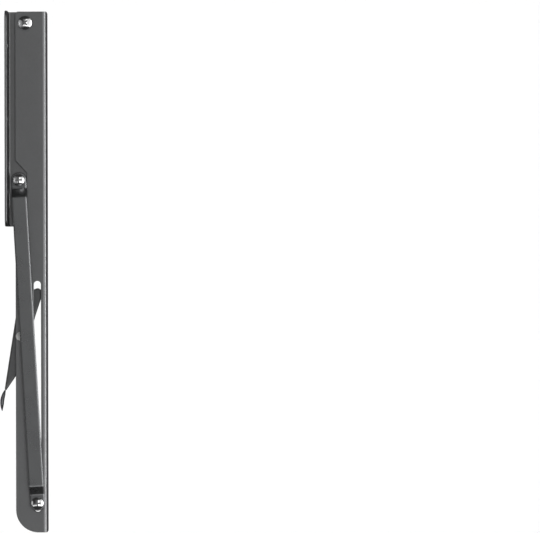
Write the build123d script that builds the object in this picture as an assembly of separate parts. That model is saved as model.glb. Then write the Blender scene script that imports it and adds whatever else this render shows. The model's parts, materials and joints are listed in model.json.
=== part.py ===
from build123d import *
import os
from math import acos, asin, atan2, cos, hypot, pi, sin, sqrt

# A folding shelf bracket, folded down against its wall.
# X points away from the wall, Y away from the viewer, Z up.
# The origin is the middle screw hole of the wall plate, on the wall face.

# Sheet and fits
sheet = 2.0
bend = 1.2
running = 0.05
face_gap = 0.1
open_gap = 0.3
washer_thick = 0.4

# Wall plate
plate_length = 206.0
plate_web = 30.0
plate_flange = 30.0
plate_corner = 8.0
wall_hole_d = 6.0
wall_hole_step = 70.0
wall_hole_count = 3

# Arm
arm_length = 500.0
arm_tail = 10.8
arm_flange = 22.0
arm_reach_back = 9.6
arm_reach_front = 20.1
arm_end_corner = 21.5
arm_small_corner = 3.0
slot_width = 6.8
slot_inset = 8.9
slot_spare_raised = 7.0487
slot_spare_folded = 5.1
shelf_hole_d = 5.2
shelf_hole_first = 90.0
shelf_hole_step = 150.0
shelf_hole_count = 3

# Pivots, measured from the arm pivot
pivot_x = 17.9
pivot_below_top = 10.4
strut_pivot_back = 6.4
strut_pivot_drop = 151.0
folded_pin = 460.9

# Notch in the arm that lets the strut's end in
notch_lead = 19.0
notch_slope = 12.0
notch_flat = 24.4
notch_depth = 11.0

# Strut
strut_width = 14.3
strut_thick = 2.5
strut_edge = 0.9
strut_stand_off = 9.0
strut_lift = 2.2
step_start = 8.6
step_end = 17.0
step_radius = 2.5

# Screws and nuts
shank_d = 6.0
arm_head_d = 12.9
strut_head_d = 11.2
slot_head_d = 11.6
head_rim = 0.7
head_height = 3.4
cross_long = 6.4
cross_wide = 1.3
cross_deep = 1.7
cross_tip_d = 0.65
arm_cross_turn = 40.0
small_cross_turn = 5.0
nut_width = 10.0
nut_height = 5.0
nut_collar = 1.4
nut_collar_d = 8.4
nut_chamfer = 0.25

# Slider in the arm's slot
sleeve_collar_d = 10.4
stud_d = 4.0
back_washer_d = 11.0
back_washer_thick = 1.2
slot_nut_width = 8.0
slot_nut_height = 2.5

# Release lever
lever_sheet = 1.6
lever_arm = 49.6
lever_back = 5.0
lever_gap = 0.4
lever_skirt = 11.0
lever_skirt_sheet = 1.3
pad_width = 16.0
pad_chord = 21.8
pad_sag = 3.4
rivet_head_d = 8.8
rivet_head_height = 1.4
rivet_shank_d = 5.0
rivet_tail_d = 8.0
rivet_tail_height = 1.5
rivet_rim = 0.3
bush_d = 8.0
catch_width = 5.0
catch_reach = 2.4
skirt_full_above = 10.0
skirt_full_below = 25.0
skirt_none_above = 20.0
nose_lead = 3.0
nose_over = 0.7
nose_width = 8.9
nose_slant = 3.6
nose_chamfer = 3.2
nose_gap = 3.1
ramp_run = 7.0
ramp_fall = 0.6
back_start = 16.8
back_edge = 2.8
hip_run = 37.9
hip_edge = 4.9
neck_run = 50.8
neck_edge = 15.8
neck_slant = 1.2
neck_width = 1.4
pad_overlap = 0.1
pad_step = 0.9
pad_drift = 3.4

# Lever spring
spring_wire = 0.8
spring_turns = 2.5
spring_pitch = 1.0
wire_sides = 6
spring_hold_up = 14.0
spring_hold_out = 7.0

# Places that follow from the sizes above
flange_inner = arm_reach_front - sheet
slot_offset = arm_reach_front - slot_inset
slot_nut_corner = slot_nut_width / sqrt(3)
catch_top = slot_offset - slot_nut_corner - open_gap
plate_middle = sheet - plate_flange / 2
pivot_z = plate_length / 2 - pivot_below_top
arm_back = -(washer_thick + face_gap)
arm_front = arm_back - sheet
collar_front = arm_front - strut_lift + open_gap
lever_front = arm_back + face_gap + back_washer_thick + slot_nut_height + lever_gap
lever_rear = lever_front + lever_sheet
strut_length = hypot(slot_offset + strut_pivot_back, folded_pin - strut_pivot_drop)
strut_angle = atan2(slot_offset + strut_pivot_back, folded_pin - strut_pivot_drop)
raised_rise = strut_pivot_drop + slot_offset
raised_pin = sqrt(strut_length**2 - raised_rise**2) - strut_pivot_back
raised_strut_angle = pi - acos(raised_rise / strut_length)
notch_start = strut_pivot_drop - notch_lead
slot_start = raised_pin - slot_spare_raised
slot_end = folded_pin + slot_spare_folded
slot_mid = (slot_start + slot_end) / 2
nose_top = slot_start + nose_lead
lever_drop = slot_start + lever_arm
neck_drop = lever_drop + neck_run
neck_back = lever_back + neck_edge
pad_drop = neck_drop - pad_overlap
pad_back = neck_back - pad_step
nose_z = pivot_z - slot_start
neck_z = pivot_z - pad_drop - pad_sag


def place(along, offset):
    # A point of the folded arm: how far below its pivot, and how far out from the wall
    return (pivot_x + offset, pivot_z - along)


def slab(face, front, back):
    # A drawing seen by the viewer, made solid between two depths
    return extrude(Plane.XZ.offset(-back) * face, amount=back - front)


def disc(radius, at, front, back):
    return slab(Pos(*at) * Circle(radius), front, back)


def outline(points):
    return make_face(Polyline(*points, close=True))


def rounded(face, radii):
    # Rounds the corners of a drawing that lie nearest to the given points
    for point, radius in radii:
        corner = face.vertices().sort_by_distance((*point, 0))[0]
        face = fillet(corner, radius)
    return face


def angle_profile(free, outer, flange_inner, near, far, flange_end):
    # The section of a folded sheet: a web from its free edge to the bend, then a flange
    face = outline([
        (free, near),
        (outer, near),
        (outer, flange_end),
        (flange_inner, flange_end),
        (flange_inner, far),
        (free, far),
    ])
    corners = [((outer, near), bend + sheet), ((flange_inner, far), bend)]
    return rounded(face, corners)


def make_wall_plate():
    section = angle_profile(plate_web, 0, sheet, sheet, 0, sheet - plate_flange)
    body = extrude(Pos(0, 0, -plate_length / 2) * section, amount=plate_length)
    flange_corners = body.edges().filter_by(Axis.X).group_by(Axis.Y)[0]
    body = fillet(flange_corners, plate_corner)
    web_corners = body.edges().filter_by(Axis.Y).group_by(Axis.X)[-1]
    body = fillet(web_corners, plate_corner / 2)
    first = -(wall_hole_count - 1) / 2 * wall_hole_step
    for index in range(wall_hole_count):
        hole = Plane.YZ * Pos(plate_middle, first + index * wall_hole_step) * Circle(wall_hole_d / 2)
        body -= extrude(hole, amount=sheet)
    for along, offset in ((0, 0), (strut_pivot_drop, -strut_pivot_back)):
        body -= disc(shank_d / 2 + running, place(along, offset), 0, sheet)
    return body


def place_spring_anchor():
    return place(lever_drop - spring_hold_up, spring_hold_out - lever_back)


def make_notch():
    # The bay in the arm's free edge, with sloped ends
    edge = -arm_reach_back
    floor = edge + notch_depth
    points = [
        place(notch_start, edge - sheet),
        place(notch_start, edge),
        place(notch_start + notch_slope, floor),
        place(notch_start + notch_slope + notch_flat, floor),
        place(notch_start + 2 * notch_slope + notch_flat, edge),
        place(notch_start + 2 * notch_slope + notch_flat, edge - sheet),
    ]
    return slab(outline(points), arm_front, arm_back)


def make_arm():
    flange_end = arm_front + arm_flange
    section = angle_profile(
        -arm_reach_back, arm_reach_front, flange_inner, arm_front, arm_back, flange_end
    )
    tip_z = pivot_z + arm_tail - arm_length
    body = extrude(Pos(pivot_x, 0, tip_z) * section, amount=arm_length)
    web_corners = body.edges().filter_by(Axis.Y).group_by(Axis.X)[0].sort_by(Axis.Z)
    body = fillet(web_corners[0], arm_end_corner)
    web_corners = body.edges().filter_by(Axis.Y).group_by(Axis.X)[0].sort_by(Axis.Z)
    body = fillet(web_corners[-1], arm_small_corner)
    flange_corners = body.edges().filter_by(Axis.X).group_by(Axis.Y)[-1]
    body = fillet(flange_corners, arm_small_corner)
    body -= make_notch()
    slot = Rot(0, 0, 90) * SlotCenterToCenter(slot_end - slot_start, slot_width)
    body -= slab(Pos(*place(slot_mid, slot_offset)) * slot, arm_front, arm_back)
    body -= disc(shank_d / 2 + running, place(0, 0), arm_front, arm_back)
    rivet = place(lever_drop, -lever_back)
    body -= disc(rivet_shank_d / 2 + running, rivet, arm_front, arm_back)
    body -= disc(spring_wire / 2 + running, place_spring_anchor(), arm_front, arm_back)
    hole_y = arm_front + arm_flange / 2
    for index in range(shelf_hole_count):
        hole_z = pivot_z - shelf_hole_first - index * shelf_hole_step
        hole = Plane.YZ.offset(pivot_x + flange_inner) * Pos(hole_y, hole_z) * Circle(shelf_hole_d / 2)
        body -= extrude(hole, amount=sheet)
    return body


def make_strut():
    # A flat bar, stepped back at both ends, then rounded off about each hole
    first_back = arm_back + strut_thick / 2 - strut_thick
    last_back = arm_front - strut_lift - strut_thick / 2
    run = -strut_stand_off - strut_thick / 2
    margin = strut_width / 2
    path = FilletPolyline(
        (-margin, first_back),
        (step_start, first_back),
        (step_end, run),
        (strut_length - step_end, run),
        (strut_length - step_start, last_back),
        (strut_length + margin, last_back),
        radius=step_radius,
    )
    start = Plane(origin=path @ 0, z_dir=path % 0, x_dir=(0, 0, 1))
    bar = sweep(start * RectangleRounded(strut_width, strut_thick, strut_edge), path=path)
    ends = Pos(strut_length / 2, 0) * SlotCenterToCenter(strut_length, strut_width)
    for along in (0, strut_length):
        ends -= Pos(along, 0) * Circle(shank_d / 2 + running)
    flat = Plane(origin=(0, 0, 0), x_dir=(1, 0, 0), z_dir=(0, 1, 0))
    bar &= extrude(flat * ends, amount=strut_stand_off + strut_thick, both=True)
    direction = (sin(strut_angle), 0, -cos(strut_angle))
    across = (cos(strut_angle), 0, sin(strut_angle))
    x, z = place(strut_pivot_drop, -strut_pivot_back)
    return Plane(origin=(x, 0, z), x_dir=direction, z_dir=across) * bar


def domed(diameter, rim, height):
    # A domed head standing on its flat side
    radius = diameter / 2
    crown = height - rim
    sphere = (radius**2 + crown**2) / (2 * crown)
    half = asin(radius / sphere) / 2
    middle = (sphere * sin(half), height - sphere + sphere * cos(half))
    edge = Polyline((0, height), (0, 0), (radius, 0), (radius, rim))
    dome = ThreePointArc((radius, rim), middle, (0, height))
    face = Plane.XZ * make_face(edge + dome)
    return revolve(face, axis=Axis.Z)


def cross_recess(height, turn):
    # A driver recess: two crossed wings that meet in a cone
    top = height + cross_deep
    wings = Box(cross_long, cross_wide, 2 * cross_deep) + Box(cross_wide, cross_long, 2 * cross_deep)
    tip = Cone(cross_tip_d / 2, cross_wide, 2 * cross_deep)
    return Pos(0, 0, top - cross_deep) * Rot(0, 0, turn) * (wings + tip)


def facing_viewer(shape, at, depth):
    return Plane(origin=(at[0], depth, at[1]), x_dir=(1, 0, 0), z_dir=(0, -1, 0)) * shape


def facing_back(shape, at, depth):
    return Plane(origin=(at[0], depth, at[1]), x_dir=(1, 0, 0), z_dir=(0, 1, 0)) * shape


def make_screw(head_d, at, seat, tail, turn):
    head = domed(head_d, head_rim, head_height) - cross_recess(head_height, turn)
    return facing_viewer(head, at, seat) + disc(shank_d / 2, at, seat, tail)


def make_nut(width, height, collar, hole_d, at, seat):
    body = extrude(RegularPolygon(width / 2, 6, major_radius=False), amount=height - collar)
    corners = Cone(width / 2 + height, width / 2 - nut_chamfer, height + nut_chamfer)
    corners = Pos(0, 0, (height - collar) / 2) * corners
    body &= corners
    if collar:
        body += extrude(Pos(0, 0, height - collar) * Circle(nut_collar_d / 2), amount=collar)
    body -= Cylinder(hole_d / 2 + running, 3 * height)
    return facing_back(body, at, seat)


def make_ring(outer_d, hole_d, at, front, back):
    return disc(outer_d / 2, at, front, back) - disc(hole_d / 2 + running, at, front, back)


def lever_outline():
    # The lever's pressed blank: a blunt nose behind the slot, then a taper to the neck
    nose_out = slot_offset + nose_over
    high_out = flange_inner - nose_gap
    high_drop = nose_top + nose_chamfer
    points = {
        "nose_low": (nose_top + nose_slant, nose_out - nose_width),
        "nose_top": (nose_top, nose_out),
        "nose_high": (high_drop, high_out),
        "ramp": (high_drop + ramp_run, high_out - ramp_fall),
        "hip": (lever_drop + hip_run, -lever_back - hip_edge),
        "neck_front": (neck_drop + neck_slant, neck_width - neck_back),
        "neck_back": (neck_drop, -neck_back),
        "back": (slot_start + back_start, -lever_back - back_edge),
    }
    face = outline([place(*point) for point in points.values()])
    radii = {"nose_low": 3.0, "nose_top": 3.5, "nose_high": 1.2, "ramp": 1.5, "hip": 6.0, "back": 8.0}
    return rounded(face, [(place(*points[name]), radius) for name, radius in radii.items()])


def make_skirt_envelope():
    # Where the turned edge stands: none at the nose, tallest below the rivet, low at the neck
    high = lever_front + lever_skirt
    rivet_z = pivot_z - lever_drop
    profile = [
        (lever_front, nose_z),
        (lever_rear, nose_z),
        (lever_rear, rivet_z + skirt_none_above),
        (high, rivet_z - skirt_full_above),
        (high, rivet_z - skirt_full_below),
        (lever_rear + lever_sheet, neck_z),
        (lever_front, neck_z),
    ]
    return extrude(Plane.YZ * outline(profile), amount=2 * arm_reach_front, both=True)


def make_pad():
    # A dished finger pad, turned square to the lever, its hollow towards the arm
    half = pad_chord / 2
    sphere = (half**2 + pad_sag**2) / (2 * pad_sag)
    shell = Sphere(sphere) - Sphere(sphere - lever_skirt_sheet)
    shell &= extrude(Ellipse(half, pad_width / 2), amount=sphere)
    shell &= Pos(0, 0, sphere) * Box(2 * sphere, 2 * sphere, 2 * pad_sag)
    turn = atan2(pad_drift, sqrt(pad_chord**2 - pad_drift**2))
    along = (-sin(turn), 0, -cos(turn))
    away = (-cos(turn), 0, sin(turn))
    x, z = place(pad_drop, -pad_back)
    middle = (x + along[0] * half, (lever_front + lever_rear) / 2, z + along[2] * half)
    seat = Plane(origin=middle, x_dir=along, z_dir=away)
    return seat * Pos(0, 0, pad_sag - sphere) * shell


def make_catch():
    # The lip that rises behind the slot screw's nut when the lever springs out
    start = raised_pin + slot_nut_corner + open_gap
    corners = [
        place(start, catch_top),
        place(start + sheet, catch_top),
        place(start + sheet, catch_top - catch_width),
        place(start, catch_top - catch_width),
    ]
    return slab(outline(corners), lever_front - catch_reach, lever_front)


def make_lever():
    blank = lever_outline()
    body = slab(blank, lever_front, lever_front + lever_skirt)
    pocket = offset(blank, amount=-lever_skirt_sheet)
    body -= slab(pocket, lever_rear, lever_front + lever_skirt)
    body &= make_skirt_envelope()
    body += make_pad()
    body += make_catch()
    pivot = place(lever_drop, -lever_back)
    return body - disc(rivet_shank_d / 2 + running, pivot, lever_front, lever_rear)


def make_lever_rivet():
    at = place(lever_drop, -lever_back)
    tail_seat = lever_rear + face_gap
    head = facing_viewer(domed(rivet_head_d, rivet_rim, rivet_head_height), at, arm_front)
    tail = facing_back(domed(rivet_tail_d, rivet_rim, rivet_tail_height), at, tail_seat)
    return head + disc(rivet_shank_d / 2, at, arm_front, tail_seat) + tail


def make_lever_spring():
    # A torsion coil round the bush, one end in the arm, the other under the catch
    at = place(lever_drop, -lever_back)
    anchor = place_spring_anchor()
    radius = bush_d / 2 + open_gap + spring_wire / 2
    start_y = arm_back + open_gap + spring_wire / 2
    wire = RegularPolygon(spring_wire / 2, wire_sides)
    helix = Helix(spring_pitch, spring_pitch * spring_turns, radius)
    helix = Plane(origin=(at[0], start_y, at[1]), x_dir=(1, 0, 0), z_dir=(0, 1, 0)) * helix
    coil = sweep(Plane(origin=helix @ 0, z_dir=helix % 0) * wire, path=helix)
    first = helix @ 0
    last = helix @ 1
    hold = Vector(anchor[0], first.Y, anchor[1])
    under = place(raised_pin + slot_nut_corner, catch_top - catch_width - spring_wire)
    reach = Vector(under[0], last.Y, under[1])
    for begin, finish in ((first, hold), (last, reach)):
        leg = Line(begin, finish)
        coil += sweep(Plane(origin=leg @ 0, z_dir=leg % 0) * wire, path=leg)
        coil += Pos(*begin) * Sphere(spring_wire / 2)
    peg = disc(spring_wire / 2, anchor, arm_front + open_gap, first.Y)
    return coil + peg


def make_sleeve():
    at = place(folded_pin, slot_offset)
    shank = slot_width / 2 - face_gap
    body = disc(sleeve_collar_d / 2, at, collar_front, arm_front - face_gap)
    body += disc(shank, at, arm_front - face_gap, arm_back + face_gap)
    return body - disc(stud_d / 2 + running, at, collar_front, arm_back + face_gap)


def build_parts():
    arm_pivot = place(0, 0)
    strut_pivot = place(strut_pivot_drop, -strut_pivot_back)
    slide = place(folded_pin, slot_offset)
    arm_seat = arm_front - face_gap
    strut_seat = arm_back - strut_thick - face_gap
    slot_seat = arm_front - strut_lift - strut_thick
    washer_front = arm_back + face_gap
    nut_seat = washer_front + back_washer_thick
    tail = sheet + nut_height
    lever_pivot = place(lever_drop, -lever_back)
    return {
        "wall_plate": make_wall_plate(),
        "arm": make_arm(),
        "strut": make_strut(),
        "release_lever": make_lever(),
        "arm_pivot_screw": make_screw(arm_head_d, arm_pivot, arm_seat, tail, arm_cross_turn),
        "arm_pivot_washer": make_ring(2 * shank_d, shank_d, arm_pivot, -washer_thick, 0),
        "arm_pivot_nut": make_nut(nut_width, nut_height, nut_collar, shank_d, arm_pivot, sheet),
        "strut_pivot_screw": make_screw(strut_head_d, strut_pivot, strut_seat, tail, small_cross_turn),
        "strut_pivot_washer": make_ring(2 * shank_d, shank_d, strut_pivot, -washer_thick, 0),
        "strut_pivot_nut": make_nut(nut_width, nut_height, nut_collar, shank_d, strut_pivot, sheet),
        "slot_screw": make_screw(slot_head_d, slide, slot_seat, slot_seat + strut_thick, small_cross_turn),
        "slot_sleeve": make_sleeve(),
        "slot_stud": disc(stud_d / 2, slide, collar_front, nut_seat + slot_nut_height),
        "slot_washer": make_ring(back_washer_d, stud_d, slide, washer_front, nut_seat),
        "slot_nut": make_nut(slot_nut_width, slot_nut_height, 0, stud_d, slide, nut_seat),
        "lever_rivet": make_lever_rivet(),
        "lever_bush": make_ring(bush_d, rivet_shank_d, lever_pivot, arm_back, lever_front - face_gap),
        "lever_spring": make_lever_spring(),
    }


def main():
    os.makedirs("parts", exist_ok=True)
    for name, shape in build_parts().items():
        export_step(Pos(0, -plate_middle, 0) * shape, f"parts/{name}.step")
    travel = folded_pin - raised_pin
    swing = raised_strut_angle - strut_angle
    print("strut", round(strut_length, 2), "swing", round(swing * 180 / pi, 3), "slide", round(travel, 3))


main()
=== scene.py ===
import json
from math import cos, radians, sin

import bpy
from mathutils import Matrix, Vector


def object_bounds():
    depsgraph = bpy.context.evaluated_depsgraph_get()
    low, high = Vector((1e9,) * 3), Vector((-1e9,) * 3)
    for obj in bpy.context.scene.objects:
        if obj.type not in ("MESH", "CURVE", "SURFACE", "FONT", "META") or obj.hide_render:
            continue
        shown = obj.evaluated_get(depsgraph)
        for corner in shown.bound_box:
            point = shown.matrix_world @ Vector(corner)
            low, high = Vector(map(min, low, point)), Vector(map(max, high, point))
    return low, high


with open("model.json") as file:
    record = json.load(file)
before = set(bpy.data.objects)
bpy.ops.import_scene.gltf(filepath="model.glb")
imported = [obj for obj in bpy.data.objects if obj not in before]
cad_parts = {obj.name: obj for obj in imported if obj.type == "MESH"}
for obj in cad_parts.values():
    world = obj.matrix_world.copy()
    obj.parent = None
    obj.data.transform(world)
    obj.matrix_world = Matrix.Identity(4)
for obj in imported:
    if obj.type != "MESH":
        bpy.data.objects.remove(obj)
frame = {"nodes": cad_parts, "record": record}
cad_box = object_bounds()
nodes = frame["nodes"]

# The photograph's frame and viewing angle
MM = 0.001
MM_PER_PIXEL = 0.9606
IMAGE_WIDTH = 540
CAMERA_DISTANCE = 3.2
AIM = Vector((252.5, 13.0, -141.9)) * MM
ROLL = radians(0.14)
SENSOR = 36.0

# The floor and its backdrop
FLOOR_DROP = 0.35
FLOOR_REACH = 8.0
FLOOR_COLOUR = (0.95, 0.95, 0.95, 1.0)
FLOOR_ROUGHNESS = 0.9
FLOOR_SHINE = 0.1
BACKDROP_FAR = 3.0
BACKDROP_BEND = 1.5
BACKDROP_STEPS = 16
BACKDROP_HEIGHT = 7.0

# The light on whatever isn't glossy
PLAIN_COLOUR = (1.0, 1.0, 1.0, 1.0)
PLAIN_LIGHT = 1.1

# The studio that glossy surfaces reflect: where each soft edge starts, where it ends, its level
FRONT_BOX = (-0.55, -0.15, 0.25)
FRONT_RIGHT = (0.02, 0.22, 1.4)
RIGHT_FALL = (0.32, 0.5, -0.7)
RIGHT_BOX = (0.86, 0.95, 5.0)
LOW_BOX = (-0.28, -0.48, 1.0)
TOP_DARK = (0.82, 0.6, 1.0)
BOTTOM_DARK = (-0.72, -0.55, 1.0)
SIDE_DARK = (0.15, -0.2, 1.0)
LEFT_BOX = (-0.9, -0.98, 0.6)
BACK_BOX = (0.3, 0.9, 0.38)
ROOM_LIGHT = 0.035

# Painted contact shade (ambient occlusion darkening the base colour) and rounded edges
SHADOW_SAMPLES = 8
EDGE_SAMPLES = 6
PAINTED_SHADOW_REACH = 3.0 * MM
PLATE_SHADE_REACH = 1.4 * MM
RECESS_SHADE_REACH = 2.4 * MM
SHEET_EDGE = 0.8 * MM
PLATE_EDGE = 1.5 * MM
LEVER_EDGE = 2.6 * MM
STRUT_EDGE = 1.7 * MM

# Paint: flakes in its colour, slow changes of its gloss, orange peel, a clear coat
FLAKE_SCALE = 2600.0
FLAKE_DETAIL = 2.0
FLAKE_SPAN = (0.35, 0.65)
FLAKE_CONTRAST = 0.08
SHEEN_SCALE = 60.0
SHEEN_DETAIL = 4.0
SHEEN_SPREAD = 0.04
PEEL_SCALE = 900.0
PEEL_DETAIL = 1.0
PEEL_STRENGTH = 0.05
PEEL_DEPTH = 0.1 * MM
COAT_WEIGHT = 0.25
COAT_ROUGHNESS = 0.28
PAINT_TINT = (0.1, 0.1, 0.1, 1.0)

# Plating: clouds in its tone and in its gloss
CLOUD_SCALE = 350.0
CLOUD_DETAIL = 3.0
CLOUD_SPAN = (0.0, 1.0)
CLOUD_GLOSS = (0.8, 1.3)

# Each paint's colour, roughness, reach of its painted shade and edge radius
PAINTS = {
    "arm_paint": ((0.24, 0.243, 0.247), 0.36, PAINTED_SHADOW_REACH, SHEET_EDGE),
    "strut_paint": ((0.265, 0.27, 0.275), 0.28, PAINTED_SHADOW_REACH, STRUT_EDGE),
    "plate_paint": ((0.215, 0.217, 0.22), 0.38, PLATE_SHADE_REACH, PLATE_EDGE),
    "lever_paint": ((0.17, 0.172, 0.175), 0.36, PAINTED_SHADOW_REACH, LEVER_EDGE),
}

# Each plating's colour, roughness and contrast of its clouds
PLATINGS = {
    "screw_chrome": ((0.9, 0.9, 0.9), 0.04, 0.05),
    "rivet_nickel": ((0.95, 0.95, 0.94), 0.7, 0.05),
    "zinc": ((0.62, 0.62, 0.63), 0.28, 0.12),
    "spring_wire": ((0.35, 0.34, 0.33), 0.35, 0.15),
}

# Slots and nodes whose finish has another name
SLOT_FINISHES = {"washer_steel": "zinc", "nut_steel": "zinc", "spring_steel": "spring_wire"}
NODE_FINISHES = {"lever_rivet": "rivet_nickel"}


def material(name):
    made = bpy.data.materials.new(name)
    made.use_nodes = True
    return made, made.node_tree, made.node_tree.nodes["Principled BSDF"]


def noise(tree, scale, detail):
    """Noise in the piece's own coordinates, so that it rides with the piece."""
    coordinates = tree.nodes.new("ShaderNodeTexCoord")
    node = tree.nodes.new("ShaderNodeTexNoise")
    node.inputs["Scale"].default_value = scale
    node.inputs["Detail"].default_value = detail
    tree.links.new(coordinates.outputs["Object"], node.inputs["Vector"])
    return node.outputs["Fac"]


def blend(tree, value, span, dark, light):
    """A colour that goes from dark to light as the value crosses the span."""
    node = tree.nodes.new("ShaderNodeValToRGB")
    for element, position, colour in zip(node.color_ramp.elements, span, (dark, light)):
        element.position = position
        element.color = (*colour, 1)
    tree.links.new(value, node.inputs["Fac"])
    return node.outputs["Color"]


def spread(tree, value, low, high):
    """A number that goes from low to high with the value."""
    node = tree.nodes.new("ShaderNodeMapRange")
    node.inputs["To Min"].default_value = low
    node.inputs["To Max"].default_value = high
    tree.links.new(value, node.inputs["Value"])
    return node.outputs["Result"]


def scaled(colour, factor):
    return [channel * factor for channel in colour]


def painted_shade(tree, colour, reach):
    """The colour, darkened as painted shade where the surface lies close in front of or beside
    another.
    """
    hidden = tree.nodes.new("ShaderNodeAmbientOcclusion")
    hidden.samples = SHADOW_SAMPLES
    hidden.inputs["Distance"].default_value = reach
    shade = tree.nodes.new("ShaderNodeVectorMath")
    shade.operation = "SCALE"
    tree.links.new(colour, shade.inputs["Vector"])
    tree.links.new(hidden.outputs["AO"], shade.inputs["Scale"])
    return shade.outputs["Vector"]


def rounded_edges(tree, radius):
    """The surface's direction, turned at sharp edges as if they were rounded."""
    edges = tree.nodes.new("ShaderNodeBevel")
    edges.samples = EDGE_SAMPLES
    edges.inputs["Radius"].default_value = radius
    return edges.outputs["Normal"]


def painted_steel(name, colour, roughness, reach, edge):
    """Satin metallic paint under a thin clear coat, its colour darkened by painted shade near
    other surfaces.
    """
    made, tree, shader = material(name)
    link = tree.links.new
    shader.inputs["Metallic"].default_value = 1.0
    shader.inputs["Coat Weight"].default_value = COAT_WEIGHT
    shader.inputs["Coat Roughness"].default_value = COAT_ROUGHNESS
    shader.inputs["Specular Tint"].default_value = PAINT_TINT

    flakes = noise(tree, FLAKE_SCALE, FLAKE_DETAIL)
    dark = scaled(colour, 1 - FLAKE_CONTRAST)
    light = scaled(colour, 1 + FLAKE_CONTRAST)
    tone = blend(tree, flakes, FLAKE_SPAN, dark, light)
    # Painted shade: the colour is darkened where ambient occlusion finds other surfaces close
    # by
    link(painted_shade(tree, tone, reach), shader.inputs["Base Color"])

    sheen = noise(tree, SHEEN_SCALE, SHEEN_DETAIL)
    gloss = spread(tree, sheen, roughness - SHEEN_SPREAD, roughness + SHEEN_SPREAD)
    link(gloss, shader.inputs["Roughness"])

    bump = tree.nodes.new("ShaderNodeBump")
    bump.inputs["Strength"].default_value = PEEL_STRENGTH
    bump.inputs["Distance"].default_value = PEEL_DEPTH
    link(noise(tree, PEEL_SCALE, PEEL_DETAIL), bump.inputs["Height"])
    link(rounded_edges(tree, edge), bump.inputs["Normal"])
    link(bump.outputs["Normal"], shader.inputs["Normal"])
    return made


def plated_steel(name, colour, roughness, contrast):
    """Bright bare or plated metal, its colour darkened by painted shade in recesses."""
    made, tree, shader = material(name)
    link = tree.links.new
    shader.inputs["Metallic"].default_value = 1.0
    clouds = noise(tree, CLOUD_SCALE, CLOUD_DETAIL)
    tone = blend(tree, clouds, CLOUD_SPAN, scaled(colour, 1 - contrast), colour)
    # Painted shade: the colour is darkened where ambient occlusion finds other surfaces close
    # by
    link(painted_shade(tree, tone, RECESS_SHADE_REACH), shader.inputs["Base Color"])
    gloss = spread(tree, clouds, *scaled(CLOUD_GLOSS, roughness))
    link(gloss, shader.inputs["Roughness"])
    return made


def dress_nodes():
    """Each node gets the finish that its material slot or its own name calls for."""
    finishes = {name: painted_steel(name, *values) for name, values in PAINTS.items()}
    finishes |= {name: plated_steel(name, *values) for name, values in PLATINGS.items()}
    for part in frame["record"]["subparts"]:
        slot = part["material_slot"]
        finish = NODE_FINISHES.get(part["node"], SLOT_FINISHES.get(slot, slot))
        mesh = nodes[part["node"]].data
        mesh.materials.clear()
        mesh.materials.append(finishes[finish])


def make_floor():
    """A pale floor that curves up into a backdrop, well clear of the object."""
    low = cad_box[0][2] - FLOOR_DROP
    profile = [(-FLOOR_REACH, low)]
    for step in range(BACKDROP_STEPS + 1):
        turn = radians(90) * step / BACKDROP_STEPS
        y = BACKDROP_FAR + BACKDROP_BEND * sin(turn)
        profile.append((y, low + BACKDROP_BEND * (1 - cos(turn))))
    profile.append((BACKDROP_FAR + BACKDROP_BEND, low + BACKDROP_HEIGHT))
    points = []
    for x in (AIM.x - FLOOR_REACH, AIM.x + FLOOR_REACH):
        points += [(x, y, z) for y, z in profile]
    count = len(profile)
    faces = [(i, i + 1, count + i + 1, count + i) for i in range(count - 1)]
    mesh = bpy.data.meshes.new("floor")
    mesh.from_pydata(points, [], faces)
    mesh.polygons.foreach_set("use_smooth", [True] * len(faces))
    floor = bpy.data.objects.new("floor", mesh)
    bpy.context.scene.collection.objects.link(floor)
    made, _, shader = material("pale_floor")
    shader.inputs["Base Color"].default_value = FLOOR_COLOUR
    shader.inputs["Roughness"].default_value = FLOOR_ROUGHNESS
    shader.inputs["Specular IOR Level"].default_value = FLOOR_SHINE
    mesh.materials.append(made)
    floor.visible_glossy = False


def soft_edge(tree, value, low, high, top):
    """A soft edge across the studio: 0 below low, top above high."""
    node = tree.nodes.new("ShaderNodeMapRange")
    node.interpolation_type = "SMOOTHSTEP"
    node.inputs["From Min"].default_value = low
    node.inputs["From Max"].default_value = high
    node.inputs["To Max"].default_value = top
    tree.links.new(value, node.inputs["Value"])
    return node.outputs["Result"]


def combine(tree, operation, first, second):
    node = tree.nodes.new("ShaderNodeMath")
    node.operation = operation
    for socket, value in zip(node.inputs, (first, second)):
        if isinstance(value, float):
            socket.default_value = value
        else:
            tree.links.new(value, socket)
    return node.outputs["Value"]


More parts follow.
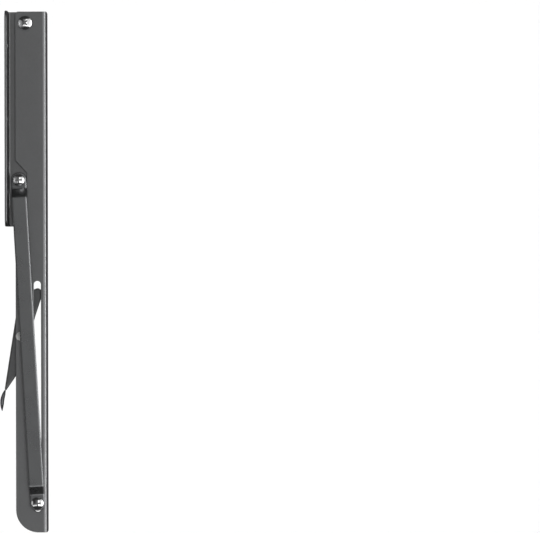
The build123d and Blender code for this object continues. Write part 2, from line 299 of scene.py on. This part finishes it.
def make_studio(tree):
    """What glossy surfaces reflect: boxes in front, right and left, dark above and below."""
    coordinates = tree.nodes.new("ShaderNodeTexCoord")
    axes = tree.nodes.new("ShaderNodeSeparateXYZ")
    tree.links.new(coordinates.outputs["Generated"], axes.inputs["Vector"])
    x, y, z = (axes.outputs[name] for name in "XYZ")
    light = soft_edge(tree, x, *FRONT_BOX)
    for axis, box in ((x, FRONT_RIGHT), (x, RIGHT_FALL), (x, RIGHT_BOX), (z, LOW_BOX)):
        light = combine(tree, "ADD", light, soft_edge(tree, axis, *box))
    for axis, dark in ((z, TOP_DARK), (z, BOTTOM_DARK), (y, SIDE_DARK)):
        light = combine(tree, "MULTIPLY", light, soft_edge(tree, axis, *dark))
    for axis, box in ((x, LEFT_BOX), (y, BACK_BOX)):
        light = combine(tree, "ADD", light, soft_edge(tree, axis, *box))
    return combine(tree, "ADD", light, ROOM_LIGHT)


def make_light():
    """The studio for glossy surfaces, and an even white light for the rest."""
    world = bpy.data.worlds.new("studio")
    bpy.context.scene.world = world
    world.use_nodes = True
    tree = world.node_tree
    link = tree.links.new
    plain = tree.nodes["Background"]
    plain.inputs["Color"].default_value = PLAIN_COLOUR
    plain.inputs["Strength"].default_value = PLAIN_LIGHT
    studio = tree.nodes.new("ShaderNodeBackground")
    link(make_studio(tree), studio.inputs["Strength"])
    path = tree.nodes.new("ShaderNodeLightPath")
    mix = tree.nodes.new("ShaderNodeMixShader")
    link(path.outputs["Is Glossy Ray"], mix.inputs["Fac"])
    link(plain.outputs["Background"], mix.inputs[1])
    link(studio.outputs["Background"], mix.inputs[2])
    link(mix.outputs["Shader"], tree.nodes["World Output"].inputs["Surface"])
    bpy.context.scene.view_settings.view_transform = "Standard"


def make_camera():
    data = bpy.data.cameras.new("camera")
    camera = bpy.data.objects.new("camera", data)
    bpy.context.scene.collection.objects.link(camera)
    camera.location = AIM - Vector((0, CAMERA_DISTANCE, 0))
    camera.rotation_euler = (radians(90), ROLL, 0)
    data.sensor_width = SENSOR
    data.lens = SENSOR * CAMERA_DISTANCE / (IMAGE_WIDTH * MM_PER_PIXEL * MM)
    bpy.context.scene.camera = camera


dress_nodes()
make_floor()
make_light()
make_camera()
